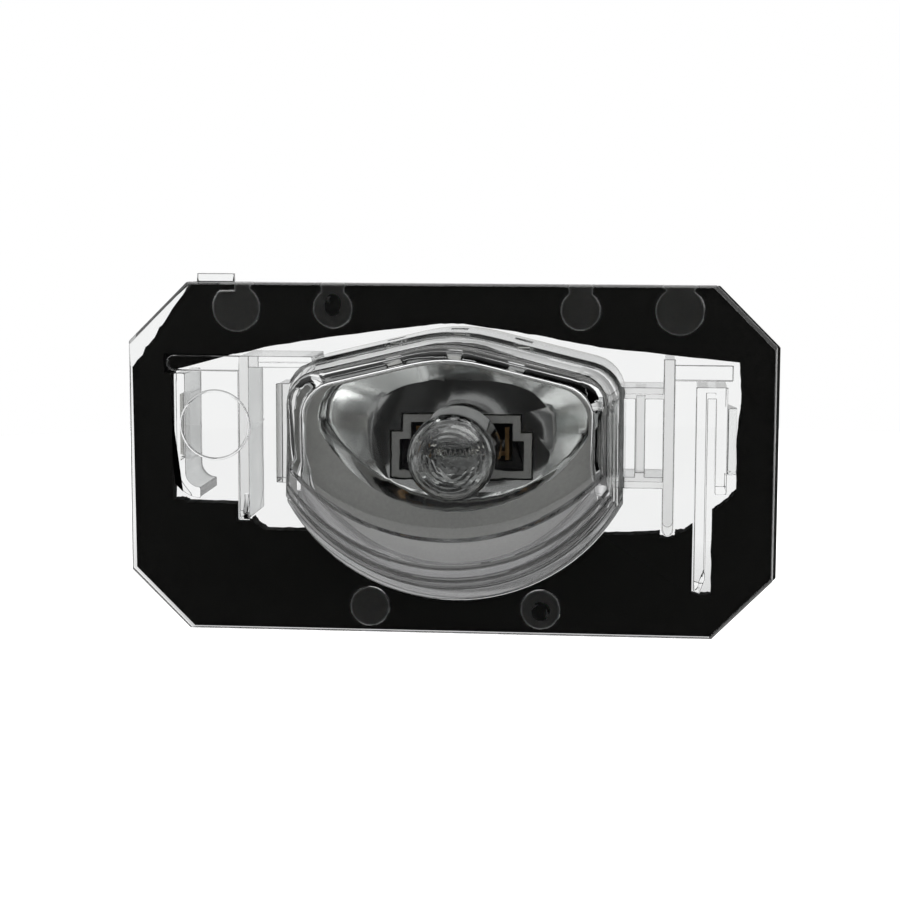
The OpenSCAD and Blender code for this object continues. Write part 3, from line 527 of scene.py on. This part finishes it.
def make_dab(name, x, z, wide, high, foam):
    """A dab of foam skin that has stuck to the bottom of a pad."""
    front_y = FLANGE_BACK - PAD_DEPTH - PRESSED_IN
    bpy.ops.mesh.primitive_circle_add(vertices=30, radius=MM, fill_type="NGON",
                                      location=(x * MM, front_y * MM, z * MM),
                                      rotation=(math.pi / 2, 0, 0))
    dab = bpy.context.active_object
    dab.name = name
    dab.scale = (wide, high, 1)
    bpy.ops.object.transform_apply(location=True, rotation=True, scale=True)
    bpy.ops.object.mode_set(mode="EDIT")
    bpy.ops.mesh.select_all(action="SELECT")
    bpy.ops.transform.vertex_random(offset=0.05 * MM, seed=5)
    bpy.ops.mesh.extrude_region_move(TRANSFORM_OT_translate={"value": (0, PAD_DEPTH * MM, 0)})
    bpy.ops.mesh.select_all(action="SELECT")
    bpy.ops.mesh.normals_make_consistent(inside=False)
    done_editing()
    dab.data.materials.append(foam)
    place(dab, "foam")


def make_reflector(metal, plastic):
    """The metallised bowl and the cap behind it, a hair clear of the lens so that light passes."""
    reflector = copy_of("reflector_housing", "reflector_bowl")
    bpy.ops.object.shade_smooth_by_angle(angle=math.radians(20))
    take(reflector)
    bpy.ops.object.mode_set(mode="EDIT")
    bpy.ops.mesh.select_all(action="SELECT")
    bpy.ops.transform.shrink_fatten(value=-REFLECTOR_GAP * MM)
    done_editing()
    reflector.data.materials.append(plastic)
    reflector.data.materials.append(metal)

    def inside(c, n):
        inward = (c.x - LENS_X) * n.x + (c.z - BULB_Z) * n.z < 0
        on_ledge = c.y < FLANGE_BACK + 0.05 and n.y < -0.9
        return c.y < METAL_END and (n.y < -0.3 or inward) and not on_ledge

    paint_faces(reflector, 1, inside)
    place(reflector, "reflector", "reflector_housing")


def make_holder(grey, dark):
    """The bulb holder, whose inside faces take a darker grey as painted shade for the socket's
    recess.
    """
    holder = copy_of("bulb_holder", "socket_holder")
    soften(holder)
    keep_flats_flat(holder)
    holder.data.materials.append(grey)
    holder.data.materials.append(dark)

    def inside(c, n):
        across, above = c.x - LENS_X, c.z - BULB_Z
        in_socket = abs(across) < SHADE_HALF_W and abs(above) < SHADE_HALF_H
        inward = across * n.x + above * n.z < 0
        behind_edge = COLLAR_END + 0.15 < c.y < SOCKET_FLOOR + 0.1
        return in_socket and behind_edge and (n.y < -0.5 or inward)

    # painted shade: the faces inside the socket take the darkened grey, for the dark of the recess
    paint_faces(holder, 1, inside)
    place(holder, "holder", "bulb_holder")


def finish_node(name, finish):
    """A CAD node that keeps its own shape takes its finish."""
    node = frame["nodes"][name]
    node.data.materials.clear()
    node.data.materials.append(finish)


# Studio

# Brightness of what lies round the part, from the front of the studio, 0, to its back, 1:
# as mirrored once, as mirrored more often, and as seen through the plastic
MIRRORED = ((0.0, 0.014), (0.09, 0.03), (0.25, 0.2), (0.45, 0.8), (0.6, 1.0))
MIRRORED_TWICE = ((0.0, 0.4), (0.09, 0.45), (0.25, 0.5), (0.45, 0.8), (0.6, 0.95))
SEEN_THROUGH = ((0.3, 0.2), (0.6, 0.3), (0.8, 0.5), (0.93, 0.8), (0.97, 1.0))
# Level of the light on matt surfaces
ROOM_LIGHT = 1.0
# The mirrored roof: heights of the direction between which it gets bright, and its level
ROOF = (0.3, 0.75, 1.4)
# The soft box above and to the right: its direction, the cosines between which it gets bright,
# and its level
SOFT_BOX_AT = (0.57, -0.21, 0.79)
SOFT_BOX = (0.9, 0.95, 3.0)
# Straight below, what is mirrored is dark
SHADE_BELOW = (-0.95, -0.75, 1.0)
# Glow of the floor to the eye, and its level seen through the plastic, close by, where its
# darkness is painted shade, and far off
FLOOR_GLOW = 0.62
FLOOR_PAINTED_SHADE_NEAR = 0.35
FLOOR_FAR = 0.98
FLOOR_Z = -0.075


def span_of(nodes, links, value, start, end, most, least=0.0):
    """Rises from least to most while the value goes from start to end."""
    span = nodes.new("ShaderNodeMapRange")
    span.inputs["From Min"].default_value = start
    span.inputs["From Max"].default_value = end
    span.inputs["To Min"].default_value = least
    span.inputs["To Max"].default_value = most
    links.new(value, span.inputs["Value"])
    return span.outputs["Result"]


def add_world():
    """White where it is seen straight. What is seen through the plastic darkens to the sides,
    what is mirrored is a white tent with a dark front, and the room's light is even."""
    world = bpy.data.worlds.new("studio")
    scene.world = world
    world.use_nodes = True
    nodes, links = world.node_tree.nodes, world.node_tree.links
    nodes.clear()
    out = nodes.new("ShaderNodeOutputWorld")
    path = nodes.new("ShaderNodeLightPath")
    where = nodes.new("ShaderNodeTexCoord")
    split = nodes.new("ShaderNodeSeparateXYZ")
    links.new(where.outputs["Generated"], split.inputs["Vector"])
    depth = span_of(nodes, links, split.outputs["Y"], -1, 1, 1)

    def walls(stops):
        ramp = nodes.new("ShaderNodeValToRGB")
        ramp.color_ramp.interpolation = "EASE"
        while len(ramp.color_ramp.elements) < len(stops):
            ramp.color_ramp.elements.new(0.5)
        for stop, (at, level) in zip(ramp.color_ramp.elements, stops):
            stop.position = at
            stop.color = (level, level, level, 1)
        links.new(depth, ramp.inputs["Fac"])
        return ramp.outputs["Color"]

    def brighter(a, b):
        more = nodes.new("ShaderNodeMath")
        more.operation = "MAXIMUM"
        links.new(a, more.inputs[0])
        links.new(b, more.inputs[1])
        return more.outputs["Value"]

    def choose(bounced, otherwise, level):
        """The level where the ray has bounced that way, and otherwise the other."""
        pick = nodes.new("ShaderNodeMix")
        links.new(bounced, pick.inputs["Factor"])
        links.new(otherwise, pick.inputs["A"])
        if isinstance(level, float):
            pick.inputs["B"].default_value = level
        else:
            links.new(level, pick.inputs["B"])
        return pick.outputs["Result"]

    roof = span_of(nodes, links, split.outputs["Z"], *ROOF)
    facing = nodes.new("ShaderNodeVectorMath")
    facing.operation = "DOT_PRODUCT"
    facing.inputs[1].default_value = SOFT_BOX_AT
    links.new(where.outputs["Generated"], facing.inputs[0])
    roof = brighter(roof, span_of(nodes, links, facing.outputs["Value"], *SOFT_BOX))
    twice = nodes.new("ShaderNodeMath")
    twice.operation = "GREATER_THAN"
    twice.inputs[1].default_value = 1.5
    links.new(path.outputs["Glossy Depth"], twice.inputs[0])
    tent = choose(twice.outputs["Value"], walls(MIRRORED), walls(MIRRORED_TWICE))
    tent = brighter(tent, roof)
    below = span_of(nodes, links, split.outputs["Z"], *SHADE_BELOW)
    shaded = nodes.new("ShaderNodeMath")
    shaded.operation = "MULTIPLY"
    links.new(tent, shaded.inputs[0])
    links.new(below, shaded.inputs[1])
    level = choose(path.outputs["Glossy Depth"], walls(SEEN_THROUGH), shaded.outputs["Value"])
    level = choose(path.outputs["Diffuse Depth"], level, ROOM_LIGHT)
    around = nodes.new("ShaderNodeBackground")
    around.inputs["Color"].default_value = (1, 1, 1, 1)
    links.new(level, around.inputs["Strength"])
    white = nodes.new("ShaderNodeBackground")
    white.inputs["Color"].default_value = (1, 1, 1, 1)
    mix = nodes.new("ShaderNodeMixShader")
    links.new(path.outputs["Is Camera Ray"], mix.inputs["Fac"])
    links.new(around.outputs["Background"], mix.inputs[1])
    links.new(white.outputs["Background"], mix.inputs[2])
    links.new(mix.outputs["Shader"], out.inputs["Surface"])


def add_lamp(name, where, width, height, power):
    bpy.ops.object.light_add(type="AREA", location=where)
    lamp = bpy.context.active_object
    lamp.name = name
    lamp.data.shape = "RECTANGLE"
    lamp.data.size = width
    lamp.data.size_y = height
    lamp.data.energy = power
    aim = Vector((0, 0, 0)) - Vector(where)
    lamp.rotation_euler = aim.to_track_quat("-Z", "Y").to_euler()
    lamp.visible_camera = False
    lamp.visible_glossy = False
    lamp.visible_transmission = False


def add_floor():
    """A pale floor well below the part, white to the eye apart from the part's shadow. Through the
    plastic it glows white far behind the part, and darker close by as painted shade for the part's
    shade."""
    bpy.ops.mesh.primitive_circle_add(vertices=96, radius=0.45, fill_type="NGON",
                                      location=(0, 0.25, FLOOR_Z))
    floor = bpy.context.active_object
    floor.name = "floor"
    bpy.ops.object.transform_apply(location=True, rotation=True, scale=True)
    finish, nodes, links, shader = new_finish("pale_floor")
    out = nodes["Material Output"]
    grain = object_noise(nodes, links, 40, 2)
    tint(nodes, links, grain, (0.80, 0.80, 0.80), (0.84, 0.84, 0.84),
         shader.inputs["Base Color"])
    shader.inputs["Roughness"].default_value = 0.8
    shader.inputs["Specular IOR Level"].default_value = 0.1
    path = nodes.new("ShaderNodeLightPath")

    glow = nodes.new("ShaderNodeEmission")
    glow.inputs["Strength"].default_value = FLOOR_GLOW
    both = nodes.new("ShaderNodeAddShader")
    links.new(shader.outputs["BSDF"], both.inputs[0])
    links.new(glow.outputs["Emission"], both.inputs[1])
    to_the_eye = nodes.new("ShaderNodeMixShader")
    links.new(path.outputs["Is Camera Ray"], to_the_eye.inputs["Fac"])
    links.new(shader.outputs["BSDF"], to_the_eye.inputs[1])
    links.new(both.outputs["Shader"], to_the_eye.inputs[2])

    where = nodes.new("ShaderNodeTexCoord")
    split = nodes.new("ShaderNodeSeparateXYZ")
    links.new(where.outputs["Object"], split.inputs["Vector"])
    # painted shade: the glow seen through the plastic darkens close to the part
    far = nodes.new("ShaderNodeEmission")
    links.new(span_of(nodes, links, split.outputs["Y"], 0.12, 0.40, FLOOR_FAR, FLOOR_PAINTED_SHADE_NEAR),
              far.inputs["Strength"])
    through = nodes.new("ShaderNodeMixShader")
    links.new(path.outputs["Is Transmission Ray"], through.inputs["Fac"])
    links.new(to_the_eye.outputs["Shader"], through.inputs[1])
    links.new(far.outputs["Emission"], through.inputs[2])
    links.new(through.outputs["Shader"], out.inputs["Surface"])
    floor.data.materials.append(finish)


add_camera()
add_world()
add_floor()
add_lamp("key", (-0.35, -0.35, 0.25), 0.25, 0.25, 1.0)
add_lamp("fill", (0.40, -0.30, 0.15), 0.20, 0.30, 0.5)
add_lamp("top", (0.0, -0.05, 0.50), 0.40, 0.40, 1.0)

grey = moulded_grey()
make_lens((clear_plastic("clear_plastic", (0.945, 0.952, 0.95), (0.965, 0.97, 0.968)),
           frosted_plastic("frosted_plastic", 0.985), frosted_plastic("pin_rim", 0.82),
           # painted shade: a dark tint for the prism steps, standing in for what their refraction
           # shows
           clear_plastic("step_painted_shade", (0.12, 0.12, 0.125), (0.18, 0.18, 0.185)),
           clear_plastic("satin_band", (0.90, 0.90, 0.91), (0.94, 0.94, 0.95), 0.9),
           # painted shade: a grey tint for the lug walls, standing in for what their refraction
           # shows
           clear_plastic("wall_painted_shade", (0.38, 0.39, 0.39), (0.52, 0.53, 0.53))))
foam = black_foam()
make_gasket(foam)
make_dab("dab_top", -13.7, 18.1, 0.95, 1.3, foam)
make_dab("dab_low", 10.95, -17.9, 1.1, 1.1, foam)
make_reflector(mirror_metal(), grey)
make_holder(grey, socket_painted_shade())
finish_node("holder_seal", black_rubber())
brass = stamped_brass()
finish_node("contact_left", brass)
finish_node("contact_right", brass)
finish_node("bulb_glass", lamp_glass())
finish_node("bulb_bead", bead_glass())
finish_node("bulb_filament", tungsten())
wire = drawn_wire()
finish_node("bulb_lead_left", wire)
finish_node("bulb_lead_right", wire)

scene.view_settings.view_transform = "Standard"
